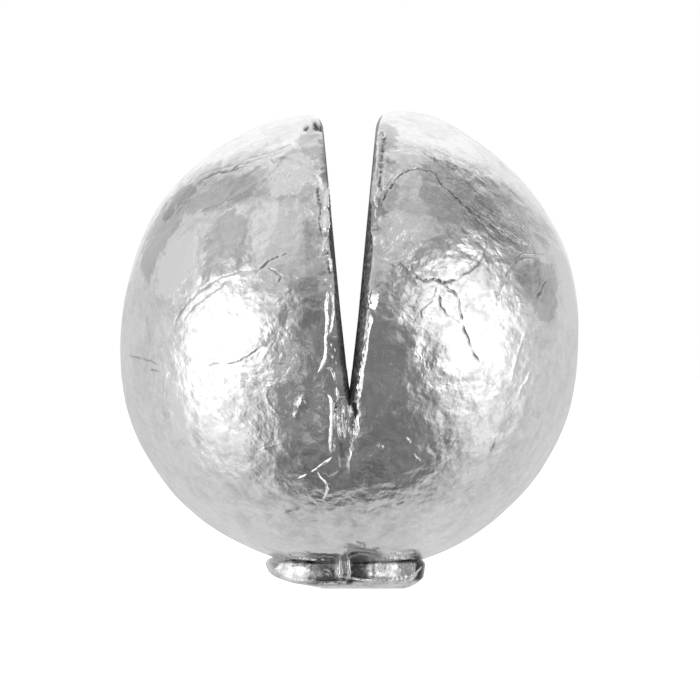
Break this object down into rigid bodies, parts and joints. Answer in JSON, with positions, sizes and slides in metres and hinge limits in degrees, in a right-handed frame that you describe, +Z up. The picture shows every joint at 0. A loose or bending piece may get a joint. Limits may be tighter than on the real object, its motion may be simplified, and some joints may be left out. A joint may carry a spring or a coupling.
{
  "type": "split shot fishing sinker",
  "caption": "Round split shot fishing sinker: a cast lead ball whose tapered slot is pinched shut on the line, standing on its gate stub.",
  "frame": {"origin": "middle of the gate stub's flat end, on which the shot stands", "axes": "+Z up through the slot's open mouth, Y along the slot as the line runs, X across the slot from the left jaw to the right jaw; the pictured face looks towards -Y"},
  "size_m": [0.012, 0.0122, 0.0124],
  "materials": {
    "cast_lead": "bright as-cast lead skin, mottled, with cold-shut creases",
    "sheared_lead": "smeared lead where the gate was cut off",
    "flash_lead": "ragged bright flash"
  },
  "bodies": {
    "web": {"hinge_web": "cast_lead", "gate_stub": "sheared_lead", "parting_fins": "flash_lead"},
    "left_half": {"left_jaw": "cast_lead", "left_slot_flash": "flash_lead"},
    "right_half": {"right_jaw": "cast_lead", "right_slot_flash": "flash_lead"}
  },
  "joints": [
    {"name": "left_pinch", "type": "hinge", "parent": "web", "child": "left_half", "pos_m": [0, 0, 0.00521], "axis": [0, 1, 0], "range_deg": [0, 5]},
    {"name": "right_pinch", "type": "hinge", "parent": "web", "child": "right_half", "pos_m": [0, 0, 0.00521], "axis": [0, -1, 0], "range_deg": [0, 5]}
  ],
  "couplings": [
    {"joint": "right_pinch", "follows": "left_pinch", "ratio": 1}
  ]
}
